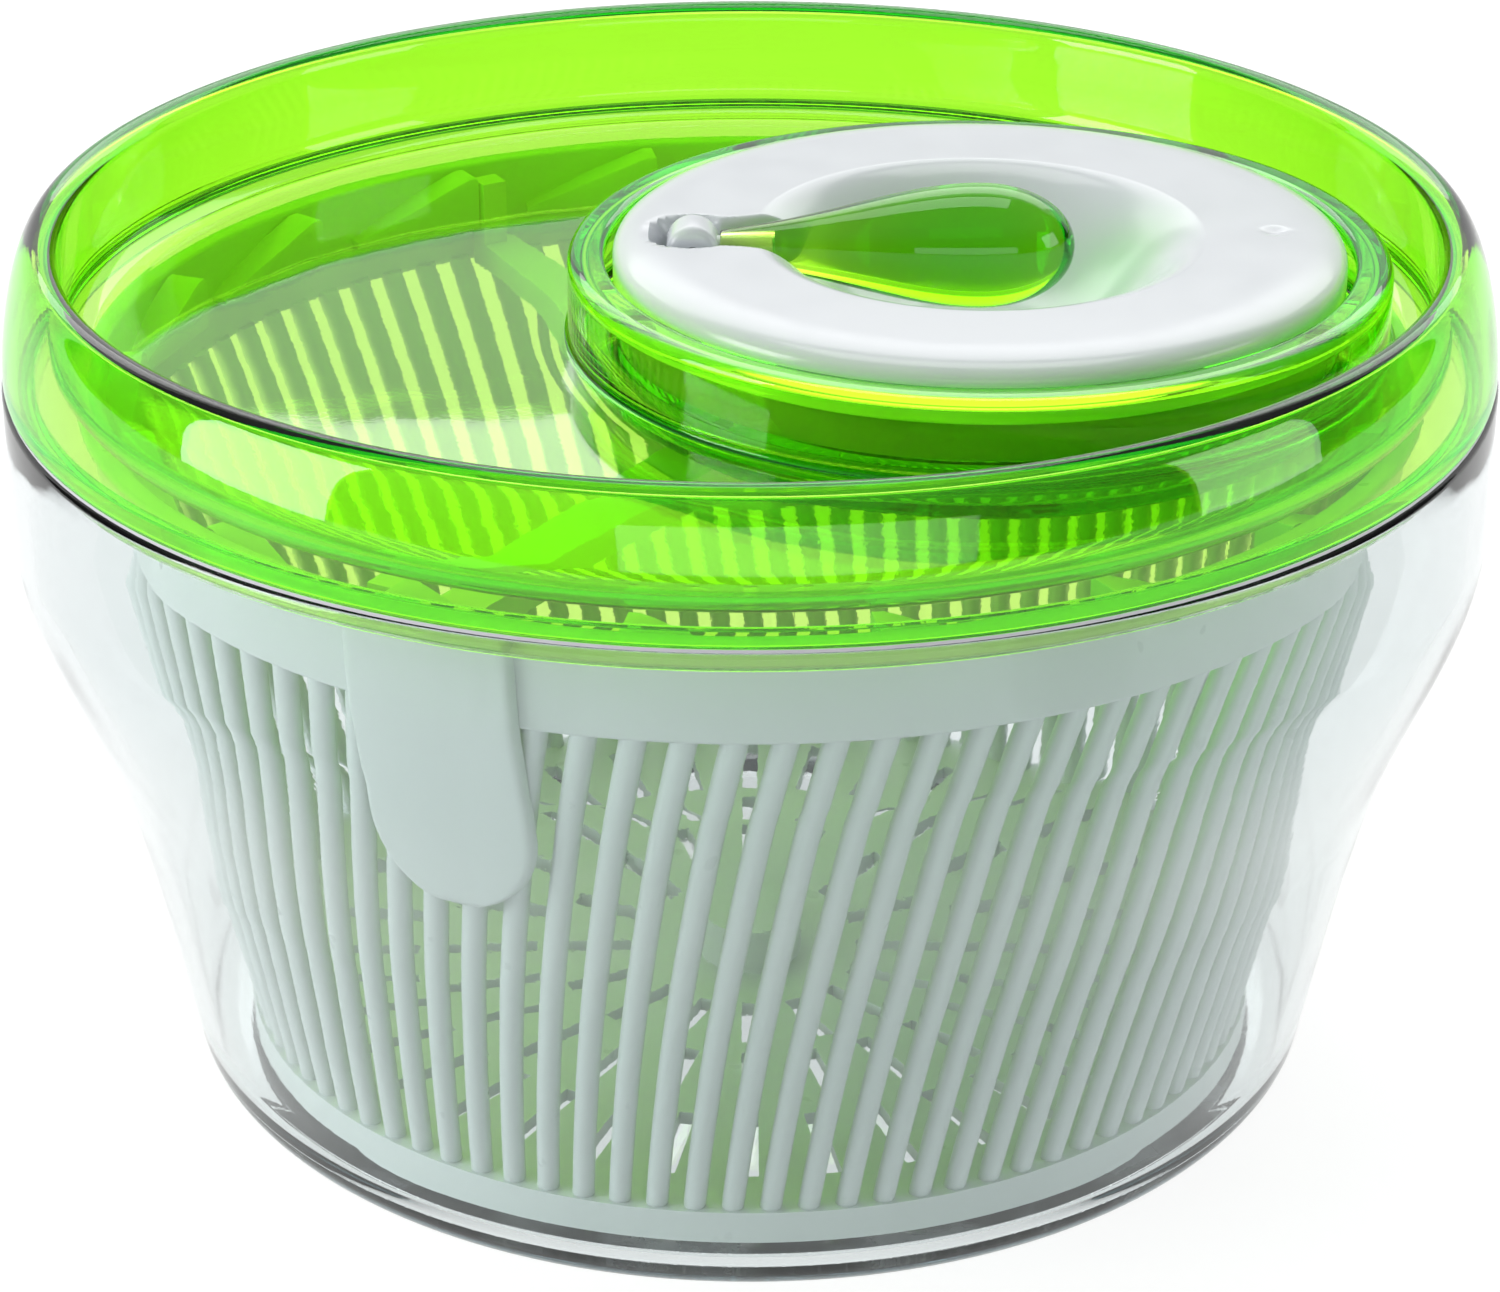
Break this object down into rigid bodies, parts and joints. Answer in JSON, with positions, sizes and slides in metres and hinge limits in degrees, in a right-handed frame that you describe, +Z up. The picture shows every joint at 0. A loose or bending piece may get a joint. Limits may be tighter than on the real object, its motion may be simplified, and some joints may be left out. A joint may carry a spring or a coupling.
{
  "type": "salad spinner",
  "caption": "Salad spinner: clear flared bowl, white slatted basket and transparent green lid with an off-centre geared crank disc and folding drop-shaped knob.",
  "frame": {"origin": "centre of the non-slip ring's underside, on the axis of bowl, basket and driver", "axes": "+Z up along the basket's axis, +X towards the off-centre crank disc, with the folded knob pointing along +X"},
  "size_m": [0.261, 0.261, 0.1612],
  "materials": {
    "clear_bowl": "clear, polished",
    "green_clear": "transparent green, polished",
    "disc_white": "glossy white",
    "basket_white": "satin white",
    "acetal": "natural, satin",
    "soft_grey": "soft, matt",
    "steel": "bright"
  },
  "bodies": {
    "bowl": {"bowl": "clear_bowl", "non_slip_ring": "soft_grey", "pivot_pin": "steel"},
    "pivot_washer": {"thrust_washer": "acetal"},
    "basket": {"pivot_cup": "acetal", "basket_floor": "basket_white", "basket_slats": "basket_white", "basket_rim": "basket_white", "basket_grips": "basket_white"},
    "lid": {"lid_shell": "green_clear", "lid_seal": "soft_grey", "hub_bush": "acetal", "shaft_bush": "acetal"},
    "crank": {"crank_disc": "disc_white", "ring_gear": "acetal", "gear_screws": "steel", "crank_washer": "steel", "crank_screw": "steel", "hinge_pin": "steel"},
    "hinge": {"hinge_barrel": "disc_white", "knob_stem": "disc_white"},
    "knob": {"handle_knob": "green_clear"},
    "driver": {"pinion": "acetal", "drive_shaft": "steel", "shaft_washer": "steel", "drive_spider": "acetal", "spider_screw": "steel"}
  },
  "joints": [
    {"name": "lid_lift", "type": "slide", "parent": "bowl", "child": "lid", "axis": [0, 0, 1], "range_m": [0, 0.3]},
    {"name": "crank_spin", "type": "hinge", "parent": "lid", "child": "crank", "pos_m": [0.04, 0, 0.1503], "axis": [0, 0, 1], "continuous": true},
    {"name": "handle_fold", "type": "hinge", "parent": "crank", "child": "hinge", "pos_m": [-0.01, 0, 0.1503], "axis": [0, -1, 0], "range_deg": [0, 90]},
    {"name": "knob_spin", "type": "hinge", "parent": "hinge", "child": "knob", "pos_m": [0.038, 0, 0.1503], "axis": [1, 0, 0], "continuous": true},
    {"name": "driver_spin", "type": "hinge", "parent": "lid", "child": "driver", "pos_m": [0, 0, 0.12], "axis": [0, 0, 1], "continuous": true},
    {"name": "basket_lift", "type": "slide", "parent": "bowl", "child": "pivot_washer", "axis": [0, 0, 1], "range_m": [0, 0.15]},
    {"name": "basket_spin", "type": "hinge", "parent": "pivot_washer", "child": "basket", "pos_m": [0, 0, 0.06], "axis": [0, 0, 1], "continuous": true}
  ],
  "couplings": [
    {"joint": "driver_spin", "follows": "crank_spin", "ratio": 3.8571},
    {"joint": "basket_spin", "follows": "crank_spin", "ratio": 3.8571},
    {"joint": "basket_lift", "follows": "lid_lift", "ratio": 0.5}
  ]
}
